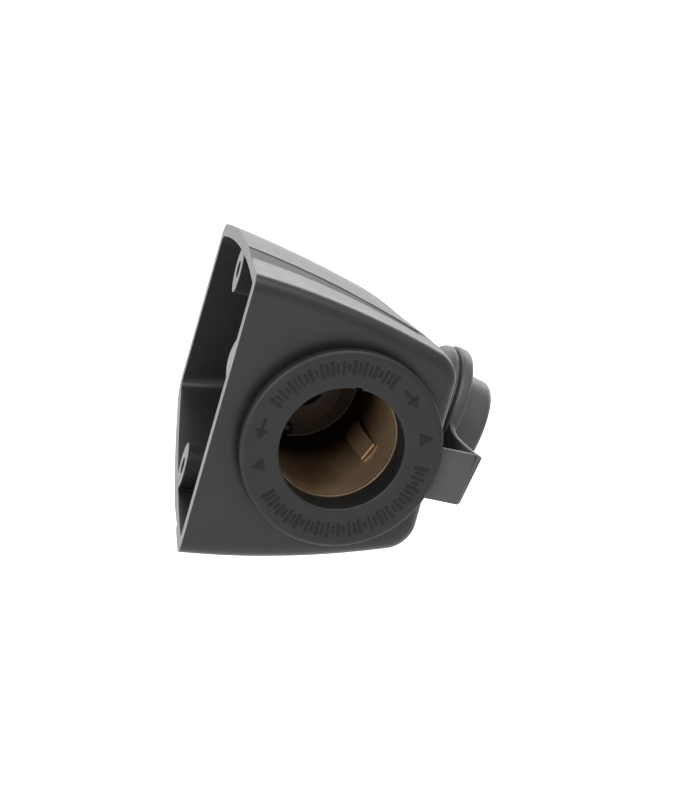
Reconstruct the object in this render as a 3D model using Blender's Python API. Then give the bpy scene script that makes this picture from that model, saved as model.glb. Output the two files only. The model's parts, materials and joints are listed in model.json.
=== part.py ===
"""Surface-mount pod holding a 12 V twist-lock power socket with a tethered dust cap.

Row frame: X runs forward from the mounting plane (the pod's open rear is X = 0), Y runs
from the socket face into the pod and Z is up. The origin is midway between the two
screw holes. The socket face leans FACE_LEAN towards the wall, so the pieces on it are
placed in a face frame: x along the face, y into the pod along the socket's axis, z up.
Lengths below are in millimetres, and MM turns them into metres.
"""
from math import atan2, cos, hypot, pi, radians, sin

import bmesh
import bpy
from mathutils import Matrix, Vector

MM = 0.001

# Pod
FACE_LEAN = radians(9.68)
FACE_OFFSET = 27.5            # from the screw line to the socket face, along Y
HALF_HEIGHT = 26.3            # at the socket face's rear corner
POD_DEPTH = 61.6              # along the face frame's y
FACE_LENGTH = 40.6
FRONT_WAIST = 36.9            # the front wall's x behind the cap
WALL = 1.9
FACE_WALL = 3.2
EDGE_ROUND = 1.9
FAR_ROUND = 2.5
BOSS_HEIGHT = 18.6
BOSS_RADIUS = 4.1
BOSS_LENGTH = 20.0
SCREW_RADIUS = 1.55
SCREW_DEPTH = 16.0
CHANNEL_DEPTH = 0.9
CHANNEL_NEAR = 10.5
CHANNEL_WIDTH = 9.0

# Socket, by radius and by depth behind the face
SOCKET_X = 22.4
SOCKET_Z = -0.6
FLANGE_RADIUS = 18.15
FLANGE_FRONT = -3.2
FLANGE_BACK = -1.35
MOUTH_RADIUS = 11.15
LIP_DEPTH = 2.7
THREAD_RADIUS = 13.0
THREAD_END = 12.5
SLEEVE_RADIUS = 12.2
SLEEVE_END = 21.5
HOLE_RADIUS = 13.4
BARREL_INNER = 10.9
BARREL_OUTER = 11.4
BARREL_END = 33.0
SHELL_END = 37.6
TERMINAL_END = 44.5
GAP = 0.3

# Tether and cap
TETHER_FRONT = -1.05
TETHER_BACK = -0.3
STRAP_WIDTH = 9.6
STRAP_THICK = 0.85
STRAP_Z = -2.5
HINGE_POINT = Vector((46.742, -0.894, -2.5))
HINGE_AXIS = Vector((0.14486, -0.09753, 0.98463))
KNUCKLE_RADIUS = 0.75
CAP_CENTRE = Vector((45.58, 23.61, -1.32))
CAP_AXIS = Vector((0.968, -0.0506, -0.2465))
CAP_RADIUS = 14.0
CAP_THICK = 2.3
DOME_RADIUS = 13.5
DOME_HEIGHT = 3.3
PLUG_RADIUS = 10.4
PLUG_LENGTH = 6.0

SEGMENTS = 48


def clear_scene():
    for thing in list(bpy.data.objects):
        bpy.data.objects.remove(thing, do_unlink=True)


def plastic(name, colour, roughness, metallic=0.0):
    material = bpy.data.materials.new(name)
    material.use_nodes = True
    shader = material.node_tree.nodes["Principled BSDF"]
    shader.inputs["Base Color"].default_value = (*colour, 1.0)
    shader.inputs["Roughness"].default_value = roughness
    shader.inputs["Metallic"].default_value = metallic
    return material


def empty(name, parent, matrix):
    thing = bpy.data.objects.new(name, None)
    bpy.context.collection.objects.link(thing)
    thing.parent = parent
    thing.matrix_local = matrix
    return thing


def placed(name, bm, parent, look=None):
    """One object from a bmesh: closed, facing out, shaded smooth between its sharp edges."""
    bmesh.ops.remove_doubles(bm, verts=bm.verts, dist=1e-7)
    bmesh.ops.triangulate(bm, faces=bm.faces)
    bmesh.ops.recalc_face_normals(bm, faces=bm.faces)
    mesh = bpy.data.meshes.new(name)
    bm.to_mesh(mesh)
    bm.free()
    mesh.shade_smooth()
    mesh.set_sharp_from_angle(angle=radians(35))
    thing = bpy.data.objects.new(name, mesh)
    bpy.context.collection.objects.link(thing)
    thing.parent = parent
    if look:
        mesh.materials.append(look)
    else:
        thing.hide_render = True
        thing.display_type = "WIRE"
    return thing


def combine(target, other, operation):
    modifier = target.modifiers.new(operation.title() + "_" + other.name, "BOOLEAN")
    modifier.operation = operation
    modifier.solver = "EXACT"
    modifier.object = other
    other.hide_render = True
    other.display_type = "WIRE"


def turned(name, profile, parent, look=None, segments=SEGMENTS):
    """A profile of (radius, depth) points spun about the parent's z axis."""
    bm = bmesh.new()
    verts = [bm.verts.new((radius * MM, 0.0, depth * MM)) for radius, depth in profile]
    pairs = list(zip(verts, verts[1:]))
    if profile[0][0] > 0 or profile[-1][0] > 0:
        pairs.append((verts[-1], verts[0]))
    edges = [bm.edges.new(pair) for pair in pairs]
    bmesh.ops.spin(bm, geom=verts + edges, cent=(0, 0, 0), axis=(0, 0, 1), angle=2 * pi,
                   steps=segments, use_duplicate=False)
    bmesh.ops.remove_doubles(bm, verts=bm.verts, dist=1e-7)
    return placed(name, bm, parent, look)


def prism(name, outline, low, high, parent, look=None):
    """An outline of (x, y) points raised from depth low to depth high."""
    bm = bmesh.new()
    face = bm.faces.new([bm.verts.new((x * MM, y * MM, low * MM)) for x, y in outline])
    raised = bmesh.ops.extrude_face_region(bm, geom=[face])
    top = [item for item in raised["geom"] if isinstance(item, bmesh.types.BMVert)]
    bmesh.ops.translate(bm, vec=(0, 0, (high - low) * MM), verts=top)
    return placed(name, bm, parent, look)


def loft(name, loops, parent, look=None):
    """Closed loops, each mirrored top to bottom, joined in order and capped with strips."""
    bm = bmesh.new()
    rows = [[bm.verts.new(Vector(point) * MM) for point in loop] for loop in loops]
    count = len(rows[0])
    for near, far in zip(rows, rows[1:]):
        for index in range(count):
            after = (index + 1) % count
            bm.faces.new((near[index], near[after], far[after], far[index]))
    for row in (rows[0], rows[-1]):
        for index in range(count // 2 - 1):
            bm.faces.new((row[index], row[index + 1], row[count - 2 - index], row[count - 1 - index]))
    return placed(name, bm, parent, look)


def smooth_step(value):
    value = min(max(value, 0.0), 1.0)
    return value * value * (3 - 2 * value)


# ---------------------------------------------------------------- pod

def far_wall(x):
    """The far wall stands square to the mounting plane, so it is oblique in the face frame."""
    return POD_DEPTH - sin(FACE_LEAN) / cos(FACE_LEAN) * (x - POD_DEPTH * sin(FACE_LEAN))


def roof(x, station):
    """Half the pod's height: it falls forward along x and into the depth."""
    forward = 0.0885 * x + 0.0034 * x * x
    deep = (9.25 + 0.02 * x) * (station / POD_DEPTH) ** 2
    return HALF_HEIGHT - forward - deep


def front_wall(station, thickness):
    """The front wall's x: a waist behind the cap, then a round turn into the far wall."""
    waist = FRONT_WAIST + (FACE_LENGTH - FRONT_WAIST) / (1 + (station / 13.0) ** 4)
    turn_start = 38.0
    turn_length = POD_DEPTH + 1.5 - thickness - turn_start
    if station <= turn_start:
        return waist
    reach = 14.9
    power = 2.6
    along = (station - turn_start) / turn_length
    return waist - reach + reach * (1 - along ** power) ** (1 / power)


def pod_loop(station, inset, thickness):
    """One section of the pod, from the rear top, round the front to the rear bottom."""
    front = front_wall(station, thickness)
    corner = 3.8 + 3.2 * smooth_step((station - 4) / 14)
    rear = station * sin(FACE_LEAN) - 4.0
    straight = 8
    arc = 6
    points = []
    for index in range(straight):
        x = rear + (front - corner - rear) * index / straight
        points.append(Vector((x, 0, roof(x, station))))
    for index in range(arc + 1):
        angle = pi / 2 * index / arc
        x = front - corner + corner * sin(angle)
        points.append(Vector((x, 0, roof(x, station) - corner * (1 - cos(angle)))))
    moved = []
    for index, point in enumerate(points):
        before = points[max(index - 1, 0)]
        after = points[index + 1] if index + 1 < len(points) else point - Vector((0, 0, 1))
        along = (after - before).normalized()
        outward = Vector((-along.z, 0, along.x))
        shifted = point - outward * inset
        moved.append((shifted.x, station * far_wall(shifted.x) / POD_DEPTH, shifted.z))
    return moved + [(x, y, -z) for x, y, z in reversed(moved)]


def pod_solid(name, near, thickness, edge, far_edge, parent, look=None):
    """The pod's outside, or its cavity when a thickness is taken off it."""
    far = POD_DEPTH - thickness
    steps = 4
    loops = []
    for index in range(steps + 1):
        angle = pi / 2 * index / steps
        station = near + edge * (1 - cos(angle))
        loops.append(pod_loop(station, thickness + edge * (1 - sin(angle)), thickness))
    plain = (7, 10, 13, 16, 20, 26, 32, 38, 43, 48, 52, 55.5)
    loops += [pod_loop(station, thickness, thickness) for station in plain]
    for index in range(steps + 1):
        angle = pi / 2 * index / steps
        station = far - far_edge * (1 - sin(angle))
        loops.append(pod_loop(station, thickness + far_edge * (1 - cos(angle)), thickness))
    return loft(name, loops, parent, look)


def build_housing(face, plain_plastic):
    housing = pod_solid("housing", 0.0, 0.0, EDGE_ROUND, FAR_ROUND, face, plain_plastic)
    cavity = pod_solid("cavity_cut", FACE_WALL, WALL, 0.8, 1.2, face)
    forward = Matrix.Rotation(pi / 2, 4, "Y")
    for side, word in ((1, "upper"), (-1, "lower")):
        seat = empty("boss_" + word, None, Matrix.Translation((0, 0, side * BOSS_HEIGHT * MM)) @ forward)
        post = turned("post_cut_" + word, [(0, -6), (BOSS_RADIUS, -6), (BOSS_RADIUS, BOSS_LENGTH),
                                           (0, BOSS_LENGTH)], seat, segments=24)
        combine(cavity, post, "DIFFERENCE")
    combine(housing, cavity, "DIFFERENCE")
    rear = prism("rear_cut", [(-50, -60), (0, -60), (0, 60), (-50, 60)], -50, 50, None)
    combine(housing, rear, "DIFFERENCE")
    for word in ("upper", "lower"):
        hole = turned("screw_cut_" + word, [(0, -1), (SCREW_RADIUS, -1), (SCREW_RADIUS, SCREW_DEPTH),
                                            (0, SCREW_DEPTH + 0.9)], bpy.data.objects["boss_" + word],
                      segments=20)
        combine(housing, hole, "DIFFERENCE")
    for side, word in ((1, "upper"), (-1, "lower")):
        combine(housing, channel_cutter("channel_cut_" + word, side, face), "DIFFERENCE")
    mouth = turned("mouth_cut", [(0, -2), (HOLE_RADIUS, -2), (HOLE_RADIUS, FACE_WALL + 2),
                                 (0, FACE_WALL + 2)], bpy.data.objects["socket_axis"])
    combine(housing, mouth, "DIFFERENCE")
    return housing


def channel_cutter(name, side, face):
    """A shallow channel along the roof that narrows to nothing towards the front."""
    steps = 8
    length = 34.0
    loops = []
    for index in range(steps + 1):
        x = -3.0 + (length + 3.0) * index / steps
        near = CHANNEL_NEAR
        width = CHANNEL_WIDTH * (1 - 0.75 * max(x, 0) / length)
        depth = CHANNEL_DEPTH * (1 - 0.8 * smooth_step((x - 24) / (length - 24)))
        corners = ((near, -depth), (near + width, -depth), (near + width, 3.0), (near, 3.0))
        loops.append([(x, y, side * (roof(x, y) + rise)) for y, rise in corners])
    bm = bmesh.new()
    rows = [[bm.verts.new(Vector(point) * MM) for point in loop] for loop in loops]
    for row, after in zip(rows, rows[1:]):
        for index in range(4):
            other = (index + 1) % 4
            bm.faces.new((row[index], row[other], after[other], after[index]))
    bm.faces.new(rows[0])
    bm.faces.new(rows[-1])
    return placed(name, bm, face)


# ---------------------------------------------------------------- socket

def build_socket(axis, looks):
    body = turned("socket_body", [
        (MOUTH_RADIUS, FLANGE_FRONT), (FLANGE_RADIUS - 0.7, FLANGE_FRONT),
        (FLANGE_RADIUS, FLANGE_FRONT + 0.7), (FLANGE_RADIUS, FLANGE_BACK),
        (THREAD_RADIUS, FLANGE_BACK), (THREAD_RADIUS, THREAD_END), (SLEEVE_RADIUS, THREAD_END),
        (SLEEVE_RADIUS, SLEEVE_END), (BARREL_OUTER + GAP, SLEEVE_END),
        (BARREL_OUTER + GAP, LIP_DEPTH), (MOUTH_RADIUS, LIP_DEPTH)], axis, looks["plastic"], 64)
    key = prism("key_cut", [(-1.6, -MOUTH_RADIUS - 0.9), (1.6, -MOUTH_RADIUS - 0.9), (1.6, -9), (-1.6, -9)],
                FLANGE_FRONT - 1, LIP_DEPTH + 1, axis)
    combine(body, key, "DIFFERENCE")
    washer_front = FACE_WALL + GAP
    nut_front = washer_front + 0.9 + GAP
    ring = (THREAD_RADIUS + GAP, 15.2)
    turned("lock_washer", [(ring[0], washer_front), (ring[1], washer_front),
                           (ring[1], washer_front + 0.9), (ring[0], washer_front + 0.9)],
           axis, looks["steel"])
    turned("locknut", [(ring[0], nut_front), (ring[1], nut_front), (ring[1], nut_front + 3.2),
                       (ring[1] - 1.0, nut_front + 4.2), (ring[0], nut_front + 4.2)],
           axis, looks["plastic"])
    barrel = turned("brass_barrel", [
        (BARREL_INNER, LIP_DEPTH + GAP), (BARREL_OUTER, LIP_DEPTH + GAP), (BARREL_OUTER, BARREL_END),
        (6.5, BARREL_END), (6.5, BARREL_END - 0.6), (BARREL_INNER, BARREL_END - 0.6)], axis, looks["brass"], 64)
    rivet_offset = 9.4
    rivet_seat = empty("rivet_seat", axis, Matrix.Translation((0, rivet_offset * MM, 0)))
    drilling = turned("rivet_cut", [(0, BARREL_END - 2), (1.0, BARREL_END - 2), (1.0, BARREL_END + 3),
                                    (0, BARREL_END + 3)], rivet_seat, segments=16)
    combine(barrel, drilling, "DIFFERENCE")
    turned("rear_shell", [
        (BARREL_OUTER + GAP, SLEEVE_END + GAP), (SLEEVE_RADIUS, SLEEVE_END + GAP),
        (SLEEVE_RADIUS, SHELL_END - 0.8), (SLEEVE_RADIUS - 0.8, SHELL_END), (9.8, SHELL_END),
        (9.8, SHELL_END - 0.8), (BARREL_OUTER + GAP, SHELL_END - 0.8)], axis, looks["grey"], 64)
    for number, angle in enumerate((25, 145, 265), start=1):
        side_spring(f"side_spring_{number}", radians(angle), axis, looks["brass"])
    turned("rear_insulator", [(1.9, 29.6), (7.6, 29.6), (7.6, 32.1), (1.9, 32.1)], axis, looks["insulator"])
    turned("centre_contact", [(0, 26.6), (1.8, 26.8), (3.0, 27.5), (3.6, 28.6), (3.6, 29.3), (1.5, 29.3),
                              (1.5, 41.0), (0, 41.0)], axis, looks["brass"], 32)
    turned("insulating_bush", [(1.9, 32.4), (6.2, 32.4), (6.2, 34.3), (1.9, 34.3)], axis, looks["insulator"], 32)
    tab("positive_tab", 34.6, 3.0, 4.6, 1.8, axis, looks["steel"], 1)
    turned("centre_washer", [(1.8, 35.7), (3.1, 35.7), (3.1, 36.3), (1.8, 36.3)], axis, looks["steel"], 24)
    turned("centre_nut", [(1.8, 36.6), (3.2, 36.6), (3.2, 38.9), (1.8, 38.9)], axis, looks["brass"], 6)
    tab("negative_tab", BARREL_END + GAP, 1.6, 1.9, 1.0, rivet_seat, looks["steel"], -1)
    turned("negative_rivet", [
        (0, 31.2), (0.9, 31.4), (1.3, 32.1), (0.7, 32.1), (0.7, 34.4), (1.3, 34.4), (1.1, 35.0),
        (0, 35.2)], rivet_seat, looks["brass"], 16)


def side_spring(name, angle, axis, look):
    """A leaf along the barrel's wall, bowed inwards to press on the plug's sleeve."""
    start = 12.0
    length = 13.0
    thick = 0.35
    half = 1.7
    steps = 8
    outer = [(10.55 - 1.0 * sin(pi * step / steps), start + length * step / steps) for step in range(steps + 1)]
    inner = [(radius - thick, depth) for radius, depth in reversed(outer)]
    bm = bmesh.new()
    turn = Matrix.Rotation(angle, 4, "Z")
    rings = []
    for side in (-half, half):
        ring = [bm.verts.new(turn @ Vector((radius * MM, side * MM, depth * MM))) for radius, depth in outer + inner]
        rings.append(ring)
    count = len(rings[0])
    for index in range(count):
        after = (index + 1) % count
        bm.faces.new((rings[0][index], rings[0][after], rings[1][after], rings[1][index]))
    for ring in rings:
        for index in range(steps):
            bm.faces.new((ring[index], ring[index + 1], ring[count - 2 - index], ring[count - 1 - index]))
    return placed(name, bm, axis, look)


def tab(name, front, half, offset, hole, parent, look, side):
    """A terminal: a drilled foot square to the axis and a blade bent back along it."""
    thick = 0.8
    blade = 3.15
    low = -half
    high = offset + thick
    foot = [(-half, side * low), (half, side * low), (blade, side * offset), (blade, side * high),
            (-blade, side * high), (-blade, side * offset)]
    terminal = prism(name, foot, front, front + thick, parent, look)
    upright = prism(name + "_blade", [(-blade, side * offset), (blade, side * offset), (blade, side * high),
                                      (-blade, side * high)], front + thick / 2, TERMINAL_END, parent)
    combine(terminal, upright, "UNION")
    drilling = turned(name + "_hole", [(0, front - 1), (hole, front - 1), (hole, front + 2), (0, front + 2)],
                      parent, segments=20)
    combine(terminal, drilling, "DIFFERENCE")
    return terminal


# ---------------------------------------------------------------- tether and cap

def hinge_x(z):
    """The fold line's x at a height, in the face frame."""
    return HINGE_POINT.x + HINGE_AXIS.x / HINGE_AXIS.z * (z - HINGE_POINT.z)


def build_tether(axis, look):
    """The tether's ring lies under the flange, and its strap runs out to the fold."""
    ring = turned("tether_strap", [(14.0, TETHER_FRONT), (17.2, TETHER_FRONT), (17.2, TETHER_BACK),
                                   (14.0, TETHER_BACK)], axis, look, 64)
    top = STRAP_Z + STRAP_WIDTH / 2
    bottom = STRAP_Z - STRAP_WIDTH / 2
    clear = KNUCKLE_RADIUS + 0.45
    start = SOCKET_X + 15.0
    corners = [(start, top), (hinge_x(top) - clear, top), (hinge_x(bottom) - clear, bottom), (start, bottom)]
    outline = [(x - SOCKET_X, SOCKET_Z - z) for x, z in corners]
    leg = prism("strap_leg", outline, TETHER_FRONT, TETHER_BACK, axis)
    combine(ring, leg, "UNION")
    return ring


def build_cap(hinge, cap_axis, look):
    """The cap is one moulding: domed back, groove, flange, hollow plug and its end of the strap."""
    back = CAP_THICK + 0.9
    rounds = [pi / 2 * step / 6 for step in range(7)]
    dome = [(DOME_RADIUS * sin(angle), -back - DOME_HEIGHT * cos(angle)) for angle in rounds]
    profile = dome + [
        (DOME_RADIUS - 0.2, -back + 0.25), (12.6, -CAP_THICK - 0.25), (CAP_RADIUS - 0.5, -CAP_THICK),
        (CAP_RADIUS, -CAP_THICK + 0.5), (CAP_RADIUS, -0.5), (CAP_RADIUS - 0.5, 0),
        (PLUG_RADIUS, 0), (PLUG_RADIUS, PLUG_LENGTH - 1.2), (PLUG_RADIUS - 0.4, PLUG_LENGTH - 0.35),
        (PLUG_RADIUS - 1.2, PLUG_LENGTH), (PLUG_RADIUS - 1.8, PLUG_LENGTH - 0.4),
        (PLUG_RADIUS - 1.8, 2.0), (0, 2.0)]
    cap = turned("cap", profile, cap_axis, look, 56)
    knuckle, leg = cap_strap(hinge, cap_axis)
    combine(leg, knuckle, "UNION")
    combine(cap, leg, "UNION")
    return cap


def cap_strap(hinge, cap_axis):
    """The strap beyond the fold: a knuckle on the hinge line and a bowed leg to the cap's rim."""
    half = STRAP_WIDTH / 2
    knuckle = turned("strap_knuckle", [(0, -half), (KNUCKLE_RADIUS, -half), (KNUCKLE_RADIUS, half), (0, half)],
                     hinge, segments=16)
    centre = hinge.matrix_world.inverted() @ cap_axis.matrix_world.translation / MM
    length = hypot(centre.x, centre.y) - CAP_RADIUS + 0.6
    to_rim = 2.6
    bow = 1.6
    steps = 8
    parts = [step / steps for step in range(steps + 1)]
    middle = [(length * part, to_rim * part + bow * sin(pi * part)) for part in parts]
    upper = [(x, y + STRAP_THICK / 2) for x, y in middle]
    lower = [(x, y - STRAP_THICK / 2) for x, y in middle]
    turn = Matrix.Rotation(atan2(centre.y, centre.x), 4, "Z")
    outline = [turn @ Vector((x, y, 0)) for x, y in lower + upper[::-1]]
    leg = prism("strap_cap_leg", [(point.x, point.y) for point in outline], -half, half, hinge)
    return knuckle, leg


def axis_matrix(origin, direction, hint):
    """A frame whose z axis is the given direction and whose x axis leans to the hint."""
    z_axis = direction.normalized()
    y_axis = z_axis.cross(hint).normalized()
    x_axis = y_axis.cross(z_axis)
    turn = Matrix((x_axis, y_axis, z_axis)).transposed().to_4x4()
    return Matrix.Translation(origin * MM) @ turn


def main():
    clear_scene()
    looks = {
        "plastic": plastic("black_plastic", (0.035, 0.036, 0.036), 0.45),
        "rubber": plastic("black_rubber", (0.05, 0.052, 0.052), 0.6),
        "grey": plastic("grey_plastic", (0.12, 0.12, 0.12), 0.5),
        "brass": plastic("brass", (0.42, 0.31, 0.19), 0.25, 1.0),
        "steel": plastic("plated_steel", (0.6, 0.6, 0.6), 0.3, 1.0),
        "insulator": plastic("insulator", (0.25, 0.12, 0.06), 0.55),
    }
    face = empty("face_frame", None, Matrix.Translation((0, -FACE_OFFSET * MM, 0))
                 @ Matrix.Rotation(FACE_LEAN, 4, "Z"))
    socket_axis = empty("socket_axis", face, Matrix.Translation((SOCKET_X * MM, 0, SOCKET_Z * MM))
                        @ Matrix.Rotation(-pi / 2, 4, "X"))
    hinge = empty("cap_hinge", face, axis_matrix(HINGE_POINT, HINGE_AXIS, Vector((1, 0, 0))))
    bpy.context.view_layer.update()
    in_face = axis_matrix(CAP_CENTRE, CAP_AXIS, Vector((0, -1, 0)))
    cap_axis = empty("cap_axis", hinge, hinge.matrix_local.inverted() @ in_face)
    bpy.context.view_layer.update()
    build_housing(face, looks["plastic"])
    build_socket(socket_axis, looks)
    build_tether(socket_axis, looks["rubber"])
    build_cap(hinge, cap_axis, looks["rubber"])


main()
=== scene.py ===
"""Looks for the surface-mount power socket pod: fine surfaces and procedural materials.

Lengths are in millimetres in the face frame (x along the socket face, y into the pod, z up)
unless a name says otherwise, and MM turns them into metres. The pod is built from sections, and
a section's station is its depth behind the near face. Depths on the socket's axis grow into the
pod and start at the near face.
"""
import json
from collections import namedtuple
from math import atan2, cos, hypot, pi, radians, sin

import bmesh
import bpy
from mathutils import Matrix, Vector


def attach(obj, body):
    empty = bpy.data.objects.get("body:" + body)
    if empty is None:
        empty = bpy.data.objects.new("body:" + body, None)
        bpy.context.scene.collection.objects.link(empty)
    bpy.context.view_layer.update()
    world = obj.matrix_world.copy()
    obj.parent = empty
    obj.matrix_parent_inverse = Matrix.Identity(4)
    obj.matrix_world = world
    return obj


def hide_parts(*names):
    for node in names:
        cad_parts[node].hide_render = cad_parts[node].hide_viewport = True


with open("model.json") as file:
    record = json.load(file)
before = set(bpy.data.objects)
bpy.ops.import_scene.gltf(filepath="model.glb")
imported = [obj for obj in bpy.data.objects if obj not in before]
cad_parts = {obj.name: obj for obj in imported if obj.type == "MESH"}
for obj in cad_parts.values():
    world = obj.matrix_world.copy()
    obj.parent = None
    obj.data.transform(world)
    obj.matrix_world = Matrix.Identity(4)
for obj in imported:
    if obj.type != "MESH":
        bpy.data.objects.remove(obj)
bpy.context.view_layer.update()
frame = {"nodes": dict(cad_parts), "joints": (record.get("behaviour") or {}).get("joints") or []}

MM = 0.001

# Play between neighbouring parts, and how far a cutting tool reaches past what it cuts
GAP = 0.3
CLEAR = 1.0

# Pod. SUPPORT sets an extra row of points inside each rounded edge. The sections start
# REAR_SPARE too far back, and a block of the REAR_CUT sizes takes that off.
FACE_LEAN = radians(9.68)
FACE_OFFSET = 27.5
HALF_HEIGHT = 26.3
POD_DEPTH = 61.6
FACE_LENGTH = 40.6
WALL = 1.9
FACE_WALL = 3.2
EDGE_ROUND = 2.4
FAR_ROUND = 2.5
SUPPORT = 0.35
REAR_SPARE = 4.0
REAR_CUT_LENGTH = 50
REAR_CUT_HALF_WIDTH = 60
REAR_CUT_HALF_HEIGHT = 50

# Pod's front wall: it draws in to a waist, then turns in to the far wall
FRONT_WAIST = 36.9
WAIST_DEPTH = 13.0
WAIST_POWER = 4
TURN_START = 38.0
TURN_SPARE = 1.5
TURN_REACH = 14.9
TURN_POWER = 2.6
CORNER_NEAR = 3.8
CORNER_GAIN = 3.2
CORNER_START = 4
CORNER_GROWTH = 14

# Pod's roof: it falls towards the front and towards the far wall
ROOF_SLOPE = 0.0885
ROOF_CURVE = 0.0034
ROOF_DROP = 9.25
ROOF_DROP_GAIN = 0.02

# Shelf and channel along the roof
SHELF_EDGE = 12.6
SHELF_DROP = 0.12
SHELF_DRAW = 5.4
SHELF_POWER = 1.5
BAND_EDGE = 23.0
BAND_LENGTH = 36.0
BAND_TAPER = 0.80
TAPER_POWER = 0.72
CHANNEL_DROP = 0.62
CHANNEL_STOP = 7.5
CHANNEL_FADE = 5.0
EDGE_SHARE = 0.03
LOOK_FROM_SHELF = 0.3
LOOK_TO_PLATEAU = 0.15
LOOK_REACH = 0.94

# Space inside the pod
CAVITY_SPARE = 0.35
CAVITY_EDGE = 0.8
CAVITY_FAR_EDGE = 1.2
CAVITY_START = 4.6
CAVITY_STOP = 1.6
BOSS_HEIGHT = 18.6
BOSS_RADIUS = 4.1
BOSS_LENGTH = 20.0
SCREW_RADIUS = 1.55
SCREW_DEPTH = 16.0
DRILL_POINT = 0.9

# Socket
SOCKET_X = 22.4
SOCKET_Z = -0.6
FLANGE_RADIUS = 18.15
FLANGE_FRONT = -3.2
FLANGE_BACK = -1.35
FLANGE_SHOULDER = 1.1
MOUTH_RADIUS = 11.15
LIP_DEPTH = 2.7
LIP_WIDTH = 0.8
KEY_HALF = 0.8
KEY_DEPTH = 0.5
KEY_INSIDE = 9
HOLE_RADIUS = 13.4
SLEEVE_RADIUS = 12.2
SLEEVE_END = 21.5
THREAD_RADIUS = 13.0
THREAD_START = 9.4
THREAD_END = 12.5
THREAD_PITCH = 1.0
THREAD_TURNS = 3.5
THREAD_STOP = 0.3
THREAD_HEIGHT = 0.3
THREAD_ROOT = 0.1

# Marks on the flange: angles are in degrees from the top, clockwise as seen from the front.
# An arrow is its angle and its way round, a tick arc its middle, its reach and its number of ticks.
MARK_HEIGHT = 0.14
MARK_ROOT = 0.1
MARK_SHIFT = 0.35
ARROWS = ((41, 1), (-86.5, -1))
TRIANGLES = (72, -113)
TICK_ARCS = ((-21.5, 45, 25), (159.5, 66, 37))
TICK_TALL = (1.3, 0.8, 1.15, 0.6, 1.3, 1.0)
TICK_WIDE = 0.2
TICK_WIDER = 0.27

# Clamp washer and nut
WASHER_OUTER = 15.2
WASHER_THICK = 0.9
NUT_LENGTH = 4.2
NUT_CHAMFER = 1.0
NUT_FRONT_CHAMFER = 0.3
NUT_RIBS = 36
NUT_GROOVE = 0.35

# Contacts
BARREL_INNER = 10.9
BARREL_OUTER = 11.4
BARREL_END = 33.0
BARREL_OPENING = 6.5
BARREL_SHEET = 0.6
SHELL_END = 37.6
SHELL_OPENING = 9.8
SHELL_SHEET = 0.8
BUTTON_FRONT = 26.6
BUTTON_TIP = 1.2
BUTTON_RADIUS = 3.6
BUTTON_SHOULDER = 28.2
BUTTON_BACK = 29.3
STUD_RADIUS = 1.5
STUD_END = 41.0

# Tether and cap
TETHER_FRONT = -1.05
TETHER_BACK = -0.3
TETHER_INNER = 14.0
TETHER_OUTER = 17.2
STRAP_WIDTH = 9.6
STRAP_THICK = 0.85
STRAP_START = 15.0
STRAP_BEND = 41.0
STRAP_EDGE_THIN = 0.62
KNUCKLE_RADIUS = 0.52
LEG_OFFSET = 2.6
LEG_BOW = 1.6
LEG_OVERLAP = 0.6
CAP_CENTRE = Vector((45.58, 23.61, -1.32))
CAP_AXIS = Vector((0.968, -0.0506, -0.2465))
CAP_RADIUS = 14.0
CAP_THICK = 2.3
GROOVE_WIDTH = 0.9
GROOVE_RADIUS = 12.6
GROOVE_LEAN = 0.25
DOME_RADIUS = 13.5
DOME_HEIGHT = 3.3
DOME_LIP = 0.2
PLUG_RADIUS = 10.4
PLUG_LENGTH = 6.0
PLUG_WALL = 1.8
PLUG_FLOOR = 2.0

# View: directions in the shared frame, and the picture's centre from the pod's near top corner
TO_VIEWER = Vector((-0.1263, -0.9489, 0.2892)).normalized()
IMAGE_UP = Vector((-0.2348, 0.3118, 0.9207)).normalized()
VIEW_HEIGHT = 138.648
CENTRE_RIGHT = 16.1179
CENTRE_DOWN = 21.3172
CAMERA_DISTANCE_M = 5.0
SENSOR = 36.0
FLOOR_SIZE_M = 60
FLOOR_Z_M = -0.22

# Points in a pod section (along the roof, round the corner, down the front) and in an edge's arc
Counts = namedtuple("Counts", "straight arc side edge")
FINE = Counts(44, 14, 6, 7)
COARSE = Counts(20, 8, 3, 4)

FACE = Matrix.Translation((0, -FACE_OFFSET * MM, 0)) @ Matrix.Rotation(FACE_LEAN, 4, "Z")
SOCKET_PLACE = Matrix.Translation((SOCKET_X * MM, 0, SOCKET_Z * MM))
AXIS = FACE @ SOCKET_PLACE @ Matrix.Rotation(-pi / 2, 4, "X")


# ---------------------------------------------------------------- materials

# A Mix node repeats its socket names for each data type: a colour mix uses these numbers.
MIX_FACTOR, MIX_A, MIX_B, MIX_RESULT = 0, 6, 7, 2
MOTTLE_SCALE = 90.0
MOTTLE_STOPS = (0.35, 0.68)
STREAK_SCALE = 260.0
GRAIN_HEIGHT = 0.08
# Sharp edges are painted paler: mostly a painted highlight where light catches the rounded edges,
# with a little wear.
EDGE_WEAR_SHEEN_REACH = 0.3
EDGE_WEAR_SHEEN_START = 0.98
EDGE_WEAR_SHEEN_FULL = 0.86
EDGE_WEAR_SHEEN_COLOUR = (0.16, 0.16, 0.155, 1)


def node(tree, kind, **values):
    """A new node with its inputs, or else its own settings, set by name."""
    made = tree.nodes.new(kind)
    for key, value in values.items():
        if key in made.inputs:
            made.inputs[key].default_value = value
        else:
            setattr(made, key, value)
    return made


def noise(tree, place, scale, detail, roughness=0.5):
    """The grey output of a noise texture at the given coordinates."""
    made = node(tree, "ShaderNodeTexNoise", Scale=scale, Detail=detail, Roughness=roughness)
    tree.links.new(place, made.inputs["Vector"])
    return made.outputs["Fac"]


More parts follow.
